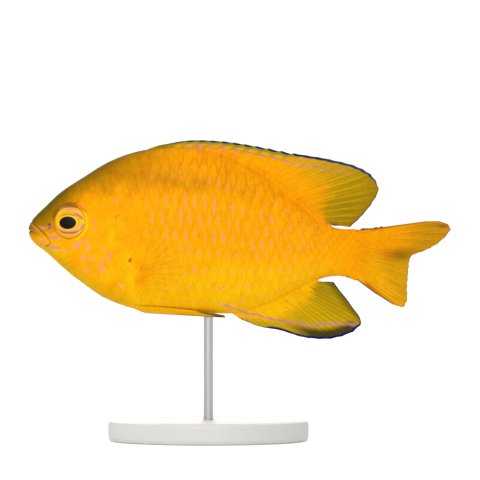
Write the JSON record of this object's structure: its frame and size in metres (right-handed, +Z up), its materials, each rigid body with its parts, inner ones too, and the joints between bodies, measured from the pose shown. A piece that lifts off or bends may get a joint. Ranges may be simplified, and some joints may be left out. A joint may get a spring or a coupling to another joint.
{
  "type": "lemon damselfish",
  "caption": "Life-size still model of a small yellow reef fish with spread fins, held by one rod on a round flat display base.",
  "frame": {"origin": "centre of the bounding box, on the surface that the stand's base rests on", "axes": "+Z up; the fish heads towards -X; its left side faces -Y, towards the viewer"},
  "size_m": [0.0804, 0.038, 0.057],
  "materials": {
    "skin": "painted golden orange skin with small scales, satin gloss",
    "fin": "golden olive fin membrane with raised rays, satin",
    "clear_fin": "thin yellow fin membrane, slightly see-through",
    "eye": "clear domed eye with yellow iris and black pupil",
    "stand_rod": "fine brushed",
    "stand_base": "satin off-white paint"
  },
  "bodies": {
    "root": {"head": "skin", "torso": "skin", "tail_stalk": "skin", "upper_lip": "skin", "lower_jaw": "skin", "gill_cover_left": "skin", "gill_cover_right": "skin", "dorsal_fin": "fin", "anal_fin": "fin", "caudal_fin": "fin", "pelvic_fin_left": "fin", "pelvic_fin_right": "fin", "pectoral_fin_left": "clear_fin", "pectoral_fin_right": "clear_fin", "eye_left": "eye", "eye_right": "eye", "stand_rod": "stand_rod", "stand_base": "stand_base"}
  },
  "joints": []
}
